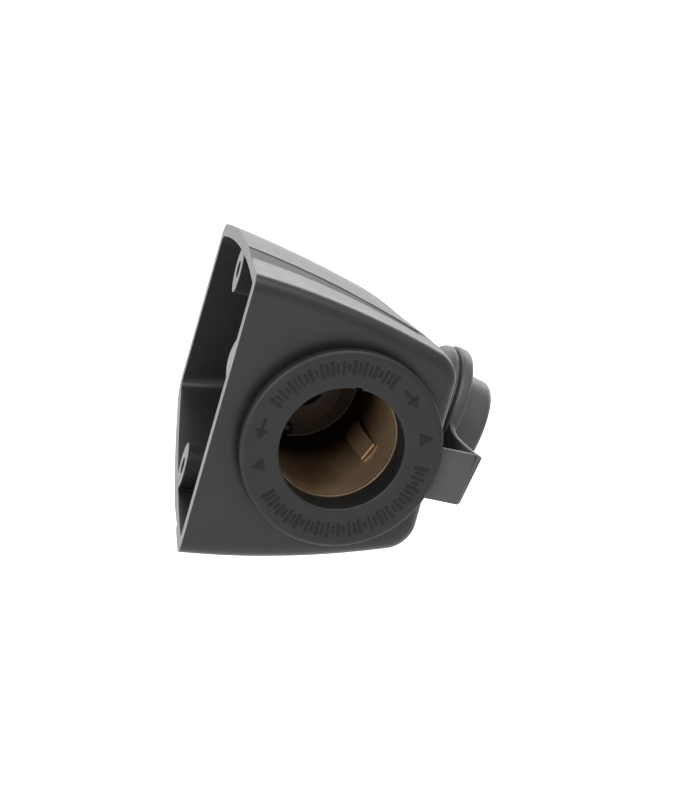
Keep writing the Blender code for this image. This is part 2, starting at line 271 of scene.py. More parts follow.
def mottled(tree, place, dark, light):
    """A colour that drifts between a dark and a light one."""
    ramp = node(tree, "ShaderNodeValToRGB")
    for element, position, colour in zip(ramp.color_ramp.elements, MOTTLE_STOPS, (dark, light)):
        element.position = position
        element.color = (*colour, 1)
    tree.links.new(noise(tree, place, MOTTLE_SCALE, 4.0, 0.6), ramp.inputs["Fac"])
    return ramp.outputs["Color"]


def worn_and_sheened_edge(tree, colour, amount):
    """A colour made paler at sharp edges, where the true normal differs from an eased one: a painted
    edge highlight, with a little wear.
    """
    shape = node(tree, "ShaderNodeNewGeometry")
    eased = node(tree, "ShaderNodeBevel", Radius=EDGE_WEAR_SHEEN_REACH * MM)
    agreement = node(tree, "ShaderNodeVectorMath", operation="DOT_PRODUCT")
    tree.links.new(eased.outputs["Normal"], agreement.inputs[0])
    tree.links.new(shape.outputs["Normal"], agreement.inputs[1])
    worn_and_sheened = node(tree, "ShaderNodeMapRange", **{"From Min": EDGE_WEAR_SHEEN_START, "From Max": EDGE_WEAR_SHEEN_FULL})
    tree.links.new(agreement.outputs["Value"], worn_and_sheened.inputs["Value"])
    share = node(tree, "ShaderNodeMath", operation="MULTIPLY")
    share.inputs[1].default_value = amount
    tree.links.new(worn_and_sheened.outputs["Result"], share.inputs[0])
    paler = node(tree, "ShaderNodeMix", data_type="RGBA")
    paler.inputs[MIX_B].default_value = EDGE_WEAR_SHEEN_COLOUR
    tree.links.new(share.outputs["Value"], paler.inputs[MIX_FACTOR])
    tree.links.new(colour, paler.inputs[MIX_A])
    return paler.outputs[MIX_RESULT]


def moulded(name, dark, light, rough, rough_spread, grain, depth,
            metallic=0.0, specular=0.5, wear_and_sheen=0.0):
    """A surface with mottled colour, varied roughness, a fine grain and edges painted paler, as a
    painted highlight with a little wear.
    """
    material = bpy.data.materials.new(name)
    material.use_nodes = True
    tree = material.node_tree
    shader = tree.nodes["Principled BSDF"]
    shader.inputs["Metallic"].default_value = metallic
    shader.inputs["Specular IOR Level"].default_value = specular
    place = node(tree, "ShaderNodeTexCoord").outputs["Object"]
    colour = mottled(tree, place, dark, light)
    if wear_and_sheen:
        colour = worn_and_sheened_edge(tree, colour, wear_and_sheen)
    tree.links.new(colour, shader.inputs["Base Color"])
    limits = {"To Min": rough - rough_spread, "To Max": rough + rough_spread}
    spread = node(tree, "ShaderNodeMapRange", **limits)
    tree.links.new(noise(tree, place, STREAK_SCALE, 3.0), spread.inputs["Value"])
    tree.links.new(spread.outputs["Result"], shader.inputs["Roughness"])
    bump = node(tree, "ShaderNodeBump", Strength=depth, Distance=GRAIN_HEIGHT * MM)
    tree.links.new(noise(tree, place, grain, 2.0), bump.inputs["Height"])
    tree.links.new(bump.outputs["Normal"], shader.inputs["Normal"])
    return material


def paint_depth_shade(material, stops):
    """Paints shade onto a metal along the socket's axis by (depth, brightness) stops up to the
    barrel's end.
    """
    tree = material.node_tree
    shader = tree.nodes["Principled BSDF"]
    colour = shader.inputs["Base Color"].links[0].from_socket
    place = node(tree, "ShaderNodeTexCoord").outputs["Object"]
    inward = AXIS.to_3x3() @ Vector((0, 0, 1))
    depth = node(tree, "ShaderNodeVectorMath", operation="DOT_PRODUCT")
    depth.inputs[1].default_value = inward / MM
    tree.links.new(place, depth.inputs[0])
    start = inward.dot(AXIS.translation) / MM
    limits = {"From Min": start, "From Max": start + BARREL_END}
    shifted = node(tree, "ShaderNodeMapRange", **limits)
    tree.links.new(depth.outputs["Value"], shifted.inputs["Value"])
    ramp = node(tree, "ShaderNodeValToRGB")
    ramp.color_ramp.interpolation = "EASE"
    while len(ramp.color_ramp.elements) < len(stops):
        ramp.color_ramp.elements.new(0.5)
    for element, (deep, level) in zip(ramp.color_ramp.elements, stops):
        element.position = deep / BARREL_END
        element.color = (level, level, level, 1)
    tree.links.new(shifted.outputs["Result"], ramp.inputs["Fac"])
    shaded = node(tree, "ShaderNodeMix", data_type="RGBA", blend_type="MULTIPLY")
    shaded.inputs[MIX_FACTOR].default_value = 1.0
    tree.links.new(colour, shaded.inputs[MIX_A])
    tree.links.new(ramp.outputs["Color"], shaded.inputs[MIX_B])
    tree.links.new(shaded.outputs[MIX_RESULT], shader.inputs["Base Color"])


LOOKS = {
    "housing": moulded(
        "pod_plastic", (0.0062, 0.0064, 0.0064), (0.0085, 0.0087, 0.0086),
        rough=0.36, rough_spread=0.05, grain=2600, depth=0.35, specular=0.34, wear_and_sheen=0.30),
    "band": moulded(
        "pod_band_plastic", (0.0070, 0.0072, 0.0072), (0.0095, 0.0097, 0.0096),
        rough=0.56, rough_spread=0.05, grain=1800, depth=0.7, specular=0.42),
    "socket": moulded(
        "socket_plastic", (0.0052, 0.0054, 0.0054), (0.0072, 0.0074, 0.0073),
        rough=0.50, rough_spread=0.05, grain=3000, depth=0.3, specular=0.30, wear_and_sheen=0.25),
    "mark": moulded(
        "raised_mark_plastic", (0.0026, 0.0027, 0.0027), (0.0036, 0.0037, 0.0037),
        rough=0.46, rough_spread=0.04, grain=3000, depth=0.2, specular=0.21),
    "rubber": moulded(
        "cap_rubber", (0.0200, 0.0204, 0.0204), (0.0250, 0.0254, 0.0254),
        rough=0.46, rough_spread=0.06, grain=2200, depth=0.25, wear_and_sheen=0.65),
    "grey": moulded(
        "rear_grey_plastic", (0.12, 0.12, 0.12), (0.15, 0.15, 0.15),
        rough=0.45, rough_spread=0.05, grain=2400, depth=0.3),
    "brass": moulded(
        "dull_brass", (0.34, 0.24, 0.15), (0.48, 0.335, 0.21),
        rough=0.40, rough_spread=0.08, grain=500, depth=0.06, metallic=0.8),
    "steel": moulded(
        "plated_steel", (0.50, 0.50, 0.49), (0.66, 0.66, 0.64),
        rough=0.28, rough_spread=0.06, grain=900, depth=0.12, metallic=1.0),
    "board": moulded(
        "insulating_board", (0.030, 0.018, 0.012), (0.050, 0.030, 0.018),
        rough=0.55, rough_spread=0.08, grain=700, depth=0.4),
}

# Painted shade: the brass darkens at the barrel's front rim behind the lip and deep in the bore,
# where little light reaches.
paint_depth_shade(LOOKS["brass"], ((2.8, 0.25), (4.0, 1.0), (17.0, 1.0), (27.0, 0.10)))


# ---------------------------------------------------------------- mesh helpers

def shade(mesh, sharp):
    """Smooth shading that breaks at edges sharper than the given degrees."""
    mesh.shade_smooth()
    mesh.set_sharp_from_angle(angle=radians(sharp))


def finished(name, bm, matrix, looks, sharp=35):
    """An object in the shared frame from a bmesh in metres, facing out and smooth in shade."""
    bmesh.ops.remove_doubles(bm, verts=bm.verts, dist=1e-7)
    bmesh.ops.recalc_face_normals(bm, faces=bm.faces)
    mesh = bpy.data.meshes.new(name)
    bm.to_mesh(mesh)
    bm.free()
    mesh.transform(matrix)
    for look in looks:
        mesh.materials.append(look)
    shade(mesh, sharp)
    thing = bpy.data.objects.new(name, mesh)
    bpy.context.scene.collection.objects.link(thing)
    return thing


def bridge(bm, row, after):
    """The faces between two closed rows of points."""
    count = len(row)
    faces = []
    for index in range(count):
        other = (index + 1) % count
        faces.append(bm.faces.new((row[index], row[other], after[other], after[index])))
    return faces


def sweep(bm, rows):
    """The faces between successive closed rows of points, with a face across each end."""
    for row, after in zip(rows, rows[1:]):
        bridge(bm, row, after)
    bm.faces.new(rows[0])
    bm.faces.new(rows[-1])


def spun(profile, segments):
    """A (radius, depth) profile turned about the z axis, closed if it leaves the axis."""
    bm = bmesh.new()
    verts = [bm.verts.new((radius * MM, 0.0, depth * MM)) for radius, depth in profile]
    pairs = list(zip(verts, verts[1:]))
    if profile[0][0] > 0 or profile[-1][0] > 0:
        pairs.append((verts[-1], verts[0]))
    edges = [bm.edges.new(pair) for pair in pairs]
    bmesh.ops.spin(bm, geom=verts + edges, cent=(0, 0, 0), axis=(0, 0, 1), angle=2 * pi,
                   steps=segments, use_duplicate=False)
    return bm


def rounded(corners, radii, steps=5):
    """A profile whose corners are turned into arcs of the given radii, in order."""
    points = []
    count = len(corners)
    for index, (corner, radius) in enumerate(zip(corners, radii)):
        here = Vector(corner)
        if radius <= 0:
            points.append(tuple(here))
            continue
        back = (Vector(corners[index - 1]) - here).normalized()
        ahead = (Vector(corners[(index + 1) % count]) - here).normalized()
        half = back.angle(ahead) / 2
        tangent = radius / (sin(half) / cos(half))
        start = here + back * tangent
        end = here + ahead * tangent
        centre = here + (back + ahead).normalized() * radius / sin(half)
        for step in range(steps + 1):
            way = (start - centre).lerp(end - centre, step / steps)
            points.append(tuple(centre + way.normalized() * radius))
    return points


def hoop(inner, outer, front, back):
    """The rectangular profile of a flat ring."""
    return [(inner, front), (outer, front), (outer, back), (inner, back)]


def turned(name, corners, radii, matrix, look, segments=192, steps=5):
    """A turned object from a profile's corners and their radii."""
    bm = spun(rounded(corners, radii, steps), segments)
    return finished(name, bm, matrix, [LOOKS[look]])


def bar(name, radius, start, end, matrix, segments, point=0.0):
    """A round cutting tool along a z axis, with a drill point at its end if one is given."""
    profile = [(0, start), (radius, start), (radius, end), (0, end + point)]
    return finished(name, spun(profile, segments), matrix, [])


def prism(outline, low, high):
    """An upright block over an (x, y) outline."""
    bm = bmesh.new()
    face = bm.faces.new([bm.verts.new((x * MM, y * MM, low * MM)) for x, y in outline])
    raised = bmesh.ops.extrude_face_region(bm, geom=[face])
    top = [item for item in raised["geom"] if isinstance(item, bmesh.types.BMVert)]
    bmesh.ops.translate(bm, vec=(0, 0, (high - low) * MM), verts=top)
    return bm


def cut(target, tool, operation="DIFFERENCE"):
    """Applies a Boolean at once and removes the tool."""
    modifier = target.modifiers.new("cut", "BOOLEAN")
    modifier.operation = operation
    modifier.solver = "EXACT"
    modifier.object = tool
    depsgraph = bpy.context.evaluated_depsgraph_get()
    mesh = bpy.data.meshes.new_from_object(target.evaluated_get(depsgraph))
    target.modifiers.clear()
    target.data = mesh
    bpy.data.objects.remove(tool, do_unlink=True)


def axes(y_axis, z_axis):
    """The turn that gives an object the two axes, with x square to both."""
    return Matrix((y_axis.cross(z_axis), y_axis, z_axis)).transposed().to_4x4()


def show(piece, body, slot, *replaced):
    """Gives a piece its body and hides the CAD node it takes the place of, if there is one. The slot
    is not used.
    """
    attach(piece, body)
    if replaced:
        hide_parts(*replaced)


# ---------------------------------------------------------------- pod

def smooth_step(value):
    """Eases from 0 to 1, and holds beyond them."""
    value = min(max(value, 0.0), 1.0)
    return value * value * (3 - 2 * value)


def between(low, high, count):
    """Even steps after low, up to and including high."""
    return [low + (high - low) * step / count for step in range(1, count + 1)]


def quarter_turn(count):
    """Angles from 0 to 90 degrees in even steps."""
    return [pi / 2 * index / count for index in range(count + 1)]


def far_wall(x):
    """The far wall's y, which runs square to the wall that the pod stands on."""
    return POD_DEPTH - sin(FACE_LEAN) / cos(FACE_LEAN) * (x - POD_DEPTH * sin(FACE_LEAN))


def roof(x, station):
    """The roof's height."""
    forward = ROOF_SLOPE * x + ROOF_CURVE * x * x
    deep = (ROOF_DROP + ROOF_DROP_GAIN * x) * (station / POD_DEPTH) ** 2
    return HALF_HEIGHT - forward - deep


def front_wall(station, thickness):
    """The front wall's x, for a solid that lies a thickness inside the pod's outside."""
    drawn_in = 1 + (station / WAIST_DEPTH) ** WAIST_POWER
    waist = FRONT_WAIST + (FACE_LENGTH - FRONT_WAIST) / drawn_in
    if station <= TURN_START:
        return waist
    turn_length = POD_DEPTH + TURN_SPARE - thickness - TURN_START
    along = (station - TURN_START) / turn_length
    return waist - TURN_REACH + TURN_REACH * (1 - along ** TURN_POWER) ** (1 / TURN_POWER)


def band_edges(x):
    """Where the shelf ends and the channel ends across the roof: both draw in towards the front."""
    forward = min(max(x, 0.0) / BAND_LENGTH, 1.0)
    shelf = SHELF_EDGE - SHELF_DRAW * forward ** SHELF_POWER
    width = (BAND_EDGE - SHELF_EDGE) * (1 - BAND_TAPER * forward ** TAPER_POWER)
    return shelf, shelf + width


def warp(station, x):
    """Bends the section lines so that they follow the channel's two edges."""
    shelf, band = band_edges(x)
    knots = ((0.0, 0.0), (EDGE_ROUND, EDGE_ROUND), (SHELF_EDGE, shelf), (BAND_EDGE, band),
             (TURN_START, TURN_START), (POD_DEPTH, POD_DEPTH))
    for (low, low_to), (high, high_to) in zip(knots, knots[1:]):
        if station <= high:
            return low_to + (high_to - low_to) * (station - low) / (high - low)
    return station


def relief(station, x, front):
    """The channel's floor below the roof: a step down at the shelf, rising to meet the plateau."""
    fade = 1 - smooth_step((x - front + CHANNEL_STOP) / CHANNEL_FADE)
    if station <= EDGE_ROUND or station >= BAND_EDGE:
        return 0.0
    if station <= SHELF_EDGE:
        return SHELF_DROP * fade * (station - EDGE_ROUND) / (SHELF_EDGE - EDGE_ROUND)
    across = (station - SHELF_EDGE) / (BAND_EDGE - SHELF_EDGE)
    step = smooth_step(across / EDGE_SHARE)
    floor = CHANNEL_DROP * (1 - across) + SHELF_DROP
    lip = smooth_step((1 - across) / EDGE_SHARE)
    return fade * (SHELF_DROP * (1 - step) + floor * step) * lip


def upper_half(station, thickness, counts, detailed):
    """A section's upper half from the rear to the front, and each point's own depth."""
    level = warp(station, FACE_LENGTH) if detailed else station
    front = front_wall(level, thickness)
    corner = CORNER_NEAR + CORNER_GAIN * smooth_step((level - CORNER_START) / CORNER_GROWTH)
    rear = station * sin(FACE_LEAN) - REAR_SPARE
    points = []
    for index in range(counts.straight):
        x = rear + (front - corner - rear) * index / counts.straight
        points.append(Vector((x, 0, 0)))
    for angle in quarter_turn(counts.arc):
        drop = -corner * (1 - cos(angle))
        points.append(Vector((front - corner + corner * sin(angle), 0, drop)))
    depths = []
    for point in points:
        depth = warp(station, point.x) if detailed else station
        depths.append(depth)
        point.z += roof(point.x, depth)
        if detailed:
            point.z -= relief(station, point.x, front)
    bottom = points[-1].z
    for index in range(1, counts.side + 1):
        points.append(Vector((front, 0, bottom * (1 - index / (counts.side + 0.5)))))
        depths.append(depths[-1])
    return points, depths


def pod_loop(station, inset, thickness, counts, detailed):
    """One section of the pod, drawn in by the inset: rear top, round the front, rear bottom."""
    points, depths = upper_half(station, thickness, counts, detailed)
    moved = []
    for index, point in enumerate(points):
        before = points[max(index - 1, 0)]
        after = points[index + 1] if index + 1 < len(points) else point - Vector((0, 0, 1))
        along = (after - before).normalized()
        shifted = point - Vector((-along.z, 0, along.x)) * inset
        moved.append((shifted.x, depths[index] * far_wall(shifted.x) / POD_DEPTH, shifted.z))
    return moved + [(x, y, -z) for x, y, z in reversed(moved)]


def close_end(bm, row, counts):
    """Fills a section: strips between top and bottom, then one face at the front."""
    count = len(row)
    last = counts.straight + counts.arc - 1
    for index in range(last):
        bm.faces.new((row[index], row[index + 1], row[count - 2 - index], row[count - 1 - index]))
    bm.faces.new(row[last:count - last])


def pod_solid(name, near, thickness, edge, far_edge, stations, counts, detailed, looks):
    """The pod's shape, a thickness inside its outside, with rounded near and far edges."""
    far = POD_DEPTH - thickness
    turn = quarter_turn(counts.edge)
    rings = [(near, thickness + edge + SUPPORT)]
    for angle in turn:
        rings.append((near + edge * (1 - cos(angle)), thickness + edge * (1 - sin(angle))))
    rings += [(station, thickness) for station in stations]
    for angle in turn:
        rings.append((far - far_edge * (1 - sin(angle)), thickness + far_edge * (1 - cos(angle))))
    rings.append((far, thickness + far_edge + SUPPORT))
    bm = bmesh.new()
    rows = []
    for station, inset in rings:
        loop = pod_loop(station, inset, thickness, counts, detailed)
        rows.append([bm.verts.new(Vector(point) * MM) for point in loop])
    last = len(rows[0]) - 2
    on_roof = counts.straight * LOOK_REACH
    for index, (near_row, far_row) in enumerate(zip(rows, rows[1:])):
        middle = (rings[index][0] + rings[index + 1][0]) / 2
        in_band = SHELF_EDGE + LOOK_FROM_SHELF < middle < BAND_EDGE - LOOK_TO_PLATEAU
        for place, face in enumerate(bridge(bm, near_row, far_row)):
            if detailed and in_band and (place < on_roof or place > last - on_roof):
                face.material_index = 1
    close_end(bm, rows[0], counts)
    close_end(bm, rows[-1], counts)
    return finished(name, bm, FACE, looks)


def station_list():
    """Close sections where the shelf drops into the channel and where it meets the plateau."""
    width = BAND_EDGE - SHELF_EDGE
    floor_start = SHELF_EDGE + width * EDGE_SHARE
    floor_end = SHELF_EDGE + width * (1 - EDGE_SHARE)
    shelf = between(EDGE_ROUND, SHELF_EDGE, 8)
    drop = between(SHELF_EDGE, floor_start, 4)
    floor = between(floor_start, floor_end, 8)
    rise = between(floor_end, BAND_EDGE, 3)
    plateau = between(BAND_EDGE, TURN_START, 14)
    turn = between(TURN_START, POD_DEPTH - FAR_ROUND, 22)
    return shelf + drop + floor + rise + plateau + turn[:-1]


def build_housing():
    """The pod's shell: outside less the space inside, open at the rear, with two screw bosses."""
    looks = [LOOKS["housing"], LOOKS["band"]]
    pod = pod_solid("pod_shell", 0.0, 0.0, EDGE_ROUND, FAR_ROUND, station_list(), FINE, True, looks)
    inner = [CAVITY_START] + between(CAVITY_START, POD_DEPTH - WALL - CAVITY_STOP, 30)[:-1]
    cavity = pod_solid("cavity", FACE_WALL, WALL + CAVITY_SPARE, CAVITY_EDGE, CAVITY_FAR_EDGE,
                       inner, COARSE, False, looks[:1])
    forward = Matrix.Rotation(pi / 2, 4, "Y")
    seats = [Matrix.Translation((0, 0, side * BOSS_HEIGHT * MM)) @ forward for side in (1, -1)]
    for seat in seats:
        cut(cavity, bar("post", BOSS_RADIUS, -REAR_SPARE - 2 * CLEAR, BOSS_LENGTH, seat, 64))
    cut(pod, cavity)
    length = REAR_CUT_LENGTH
    half = REAR_CUT_HALF_WIDTH
    rear = prism([(-length, -half), (0, -half), (0, half), (-length, half)],
                 -REAR_CUT_HALF_HEIGHT, REAR_CUT_HALF_HEIGHT)
    cut(pod, finished("rear", rear, Matrix.Identity(4), []))
    for seat in seats:
        cut(pod, bar("hole", SCREW_RADIUS, -CLEAR, SCREW_DEPTH, seat, 48, DRILL_POINT))
    cut(pod, bar("mouth", HOLE_RADIUS, -2 * CLEAR, FACE_WALL + 2 * CLEAR, AXIS, 96))
    shade(pod.data, 40)
    show(pod, "root", "housing_plastic", "housing")


# ---------------------------------------------------------------- socket

def build_socket():
    """The socket body: flange, mouth with a key notch at its top, and sleeve."""
    inside = BARREL_OUTER + GAP
    corners = [
        (MOUTH_RADIUS, FLANGE_FRONT), (MOUTH_RADIUS + LIP_WIDTH, FLANGE_FRONT),
        (FLANGE_RADIUS - FLANGE_SHOULDER, FLANGE_FRONT), (FLANGE_RADIUS, FLANGE_FRONT),
        (FLANGE_RADIUS, FLANGE_BACK), (THREAD_RADIUS, FLANGE_BACK), (THREAD_RADIUS, THREAD_END),
        (SLEEVE_RADIUS, THREAD_END), (SLEEVE_RADIUS, SLEEVE_END), (inside, SLEEVE_END),
        (inside, LIP_DEPTH), (MOUTH_RADIUS, LIP_DEPTH)]
    radii = [0.45, 0, 0, 0.75, 0.25, 0, 0.3, 0, 0.3, 0, 0, 0.4]
    body = turned("socket_moulding", corners, radii, AXIS, "socket")
    top = -MOUTH_RADIUS - KEY_DEPTH
    notch = [(-KEY_HALF, top), (KEY_HALF, top), (KEY_HALF, -KEY_INSIDE), (-KEY_HALF, -KEY_INSIDE)]
    key = prism(notch, FLANGE_FRONT - CLEAR, LIP_DEPTH + CLEAR)
    cut(body, finished("key", key, AXIS, []))
    shade(body.data, 40)
    show(body, "root", "socket_plastic", "socket_body")


def add_mark(bm, points, angle):
    """One raised mark on the flange. Its points are (round the ring, outwards)."""
    ring = (FLANGE_RADIUS + MOUTH_RADIUS) / 2 + MARK_SHIFT
    tops = []
    feet = []
    for along, out in points:
        radius = ring + out
        turn = angle + along / ring
        place = Vector((radius * sin(turn), -radius * cos(turn), FLANGE_FRONT + MARK_ROOT))
        feet.append(bm.verts.new(place * MM))
        tops.append(bm.verts.new((place - Vector((0, 0, MARK_HEIGHT + MARK_ROOT))) * MM))
    sweep(bm, [feet, tops])


def build_flange_marks():
    """Generic raised marks round the flange: two arrows, two triangles, short ticks, no lettering."""
    bm = bmesh.new()
    shaft = 0.22
    arrow = [(-1.9, -shaft), (0.2, -shaft), (0.2, -1.15), (1.9, 0.0), (0.2, 1.15), (0.2, shaft),
             (-1.9, shaft)]
    for angle, way in ARROWS:
        add_mark(bm, [(way * along, out) for along, out in arrow], radians(angle))
    for angle in TRIANGLES:
        add_mark(bm, [(-1.25, -1.0), (1.25, -1.0), (0.0, 1.2)], radians(angle))
    for middle, reach, count in TICK_ARCS:
        for step in range(count):
            angle = radians(middle - reach + 2 * reach * step / (count - 1))
            tall = TICK_TALL[step % len(TICK_TALL)]
            wide = TICK_WIDE if step % 4 else TICK_WIDER
            add_mark(bm, [(-wide, -tall), (wide, -tall), (wide, tall), (-wide, tall)], angle)
    marks = finished("flange_marks", bm, AXIS, [LOOKS["mark"]], sharp=30)
    show(marks, "root", "socket_plastic")


def build_thread():
    """The sleeve's thread, as a fine ridge wound over the part of the sleeve behind the wall."""
    bm = bmesh.new()
    per_turn = 72
    fade_steps = 12
    steps = int(THREAD_TURNS * per_turn)
    root = THREAD_RADIUS - THREAD_ROOT
    rows = []
    for step in range(steps + 1):
        angle = 2 * pi * step / per_turn
        depth = min(THREAD_START + THREAD_PITCH * (step / per_turn), THREAD_END - THREAD_STOP)
        fade = min(1.0, step / fade_steps, (steps - step) / fade_steps)
        tall = THREAD_RADIUS - 0.05 + THREAD_HEIGHT * fade
        section = ((root, -0.35), (tall, -0.06), (tall, 0.06), (root, 0.35))
        rows.append([bm.verts.new(Vector((radius * cos(angle), radius * sin(angle), depth + z)) * MM)
                     for radius, z in section])
    sweep(bm, rows)
    thread = finished("sleeve_thread", bm, AXIS, [LOOKS["socket"]])
    show(thread, "root", "socket_plastic")


def build_lock_washer():
    """The plain clamp washer behind the face wall."""
    front = FACE_WALL + GAP
    corners = hoop(THREAD_RADIUS + GAP, WASHER_OUTER, front, front + WASHER_THICK)
    radii = [0.1, 0.15, 0.15, 0.1]
    washer = turned("lock_washer_fine", corners, radii, AXIS, "steel", 144, 3)
    show(washer, "root", "plated_steel", "lock_washer")


def build_locknut():
    """The ribbed nut behind the washer. A profile point's last value says whether ribs cut it."""
    inner = THREAD_RADIUS + GAP
    start = FACE_WALL + GAP + WASHER_THICK + GAP
    end = start + NUT_LENGTH
    profile = [(inner, start, 0), (WASHER_OUTER - NUT_FRONT_CHAMFER, start, 0),
               (WASHER_OUTER, start + NUT_FRONT_CHAMFER, 1), (WASHER_OUTER, end - NUT_CHAMFER, 1),
               (WASHER_OUTER - NUT_CHAMFER, end, 0), (inner, end, 0)]
    bm = bmesh.new()
    rows = []
    for step in range(NUT_RIBS * 4):
        angle = 2 * pi * step / (NUT_RIBS * 4)
        groove = NUT_GROOVE if step % 4 == 0 else 0.0
        row = []
        for radius, depth, rib in profile:
            reach = radius - groove * rib
            row.append(bm.verts.new(Vector((reach * cos(angle), reach * sin(angle), depth)) * MM))
        rows.append(row)
    for row, after in zip(rows, rows[1:] + rows[:1]):
        bridge(bm, row, after)
    nut = finished("locknut_ribbed", bm, AXIS, [LOOKS["socket"]], sharp=30)
    show(nut, "root", "socket_plastic", "locknut")


# ---------------------------------------------------------------- contacts

def build_barrel():
    """The brass sleeve in the mouth, with a flange turned in at its rear."""
    start = LIP_DEPTH + GAP
    floor = BARREL_END - BARREL_SHEET
    corners = [(BARREL_INNER, start), (BARREL_OUTER, start), (BARREL_OUTER, BARREL_END),
               (BARREL_OPENING, BARREL_END), (BARREL_OPENING, floor), (BARREL_INNER, floor)]
    barrel = turned("barrel_sleeve", corners, [0.2, 0.1, 0.6, 0.1, 0.1, 0.5], AXIS, "brass")
    show(barrel, "root", "contact_brass", "brass_barrel")


def build_rear_shell():
    """The grey cup round the barrel's rear."""
    inner = BARREL_OUTER + GAP
    start = SLEEVE_END + GAP
    floor = SHELL_END - SHELL_SHEET
    corners = [(inner, start), (SLEEVE_RADIUS, start), (SLEEVE_RADIUS, SHELL_END),
               (SHELL_OPENING, SHELL_END), (SHELL_OPENING, floor), (inner, floor)]
    shell = turned("rear_shell_fine", corners, [0.1, 0.15, 1.2, 0.2, 0.2, 0], AXIS, "grey")
    show(shell, "root", "grey_plastic", "rear_shell")


def build_centre_contact():
    """The positive button and its stud."""
    corners = [
        (0, BUTTON_FRONT), (BUTTON_TIP, BUTTON_FRONT), (BUTTON_RADIUS, BUTTON_SHOULDER),
        (BUTTON_RADIUS, BUTTON_BACK), (STUD_RADIUS, BUTTON_BACK), (STUD_RADIUS, STUD_END),
        (0, STUD_END)]
    radii = [0, 1.0, 0.7, 0.15, 0, 0.3, 0]
    contact = turned("centre_contact_fine", corners, radii, AXIS, "brass", 96)
    show(contact, "root", "contact_brass", "centre_contact")


def build_discs():
    """The insulators and the washer on the stud: radii, then front and back depths."""
    for name, inner, outer, front, back, look, slot in (
            ("rear_insulator", 1.9, 7.6, 29.6, 32.1, "board", "insulator"),
            ("insulating_bush", 1.9, 6.2, 32.4, 34.3, "board", "insulator"),
            ("centre_washer", 1.8, 3.1, 35.7, 36.3, "steel", "plated_steel")):
        corners = hoop(inner, outer, front, back)
        disc = turned(name + "_fine", corners, [0.1, 0.2, 0.2, 0.1], AXIS, look, 96, 3)
        show(disc, "root", slot, name)


def plate_small_parts():
    """New metals on the CAD's own springs, nut, rivet and tabs."""
    plated = {"brass": ("side_spring_1", "side_spring_2", "side_spring_3", "centre_nut",
                        "negative_rivet"),
              "steel": ("positive_tab", "negative_tab")}
    for look, names in plated.items():
        for name in names:
            materials = frame["nodes"][name].data.materials
            materials.clear()
            materials.append(LOOKS[look])


# ---------------------------------------------------------------- tether and cap

def hinge_frame():
    """The cap hinge in the shared frame: its own z is the fold line, pointing up."""
    joint = frame["joints"][0]
    up = -Vector(joint["axis"]).normalized()
    along = Vector(FACE.to_3x3() @ Vector((1, 0, 0)))
    across = up.cross(along).normalized()
    return Matrix.Translation(Vector(joint["pos_m"])) @ axes(across, up)


def cap_frame():
    """The open cap in the shared frame: its own z runs from the flange along the plug."""
    z_axis = CAP_AXIS.normalized()
    y_axis = z_axis.cross(Vector((0, -1, 0))).normalized()
    return FACE @ Matrix.Translation(CAP_CENTRE * MM) @ axes(y_axis, z_axis)


def tether_leg():
    """The strap's fixed leg, from the ring out to the fold, where it leans as the fold does."""
    hinge = FACE.inverted() @ hinge_frame()
    fold = hinge.translation / MM
    up = hinge.to_3x3() @ Vector((0, 0, 1))
    lean = up.x / up.z
    middle = (TETHER_FRONT + TETHER_BACK) / 2
    start = SOCKET_X + STRAP_START
    half = STRAP_WIDTH / 2
    steps = 24
    across = 10
    section = []
    for step in range(across + 1):
        thin = STRAP_EDGE_THIN if step in (0, across) else 1.0
        section.append((-STRAP_THICK / 2 * thin, -half + 2 * half * step / across))
    section += [(-out, -z) for out, z in section]
    bm = bmesh.new()
    rows = []
    for index in range(steps + 1):
        part = index / steps
        x = start + (fold.x - start) * part
        y = middle + (fold.y - middle) * smooth_step((x - STRAP_BEND) / (fold.x - STRAP_BEND))
        rows.append([bm.verts.new(Vector((x + lean * z * part, y + out, fold.z + z)) * MM)
                     for out, z in section])
    sweep(bm, rows)
    return finished("tether_leg", bm, FACE, [LOOKS["rubber"]], sharp=50)


def build_tether():
    """The ring under the flange, joined to the strap's fixed leg."""
    corners = hoop(TETHER_INNER, TETHER_OUTER, TETHER_FRONT, TETHER_BACK)
    ring = turned("tether_ring", corners, [0.15, 0.2, 0.2, 0.15], AXIS, "rubber", 160, 3)
    cut(ring, tether_leg(), "UNION")
    ring.name = "tether_moulding"
    shade(ring.data, 50)
    show(ring, "root", "cap_rubber", "tether_strap")


def strap_section():
    """The moving leg's section, (out, along the fold) points with rounded edges."""
    thick = STRAP_THICK / 2
    half = STRAP_WIDTH / 2
    flat = half - 0.2
    steps = 7
    section = [(thick, -flat + 2 * flat * step / steps) for step in range(steps + 1)]
    section += [(0.9 * thick, half - 0.05), (0.5 * thick, half),
                (-0.5 * thick, half), (-0.9 * thick, half - 0.05)]
    return section + [(-out, -z) for out, z in section]


def ribbon(name, path, matrix, section, look):
    """A flat strap: a section swept along (x, y) points."""
    bm = bmesh.new()
    rows = []
    for index, (x, y) in enumerate(path):
        before = Vector(path[max(index - 1, 0)])
        after = Vector(path[min(index + 1, len(path) - 1)])
        along = (after - before).normalized()
        side = Vector((-along.y, along.x))
        rows.append([bm.verts.new(Vector((x + side.x * out, y + side.y * out, z)) * MM)
                     for out, z in section])
    sweep(bm, rows)
    return finished(name, bm, matrix, [LOOKS[look]], sharp=50)


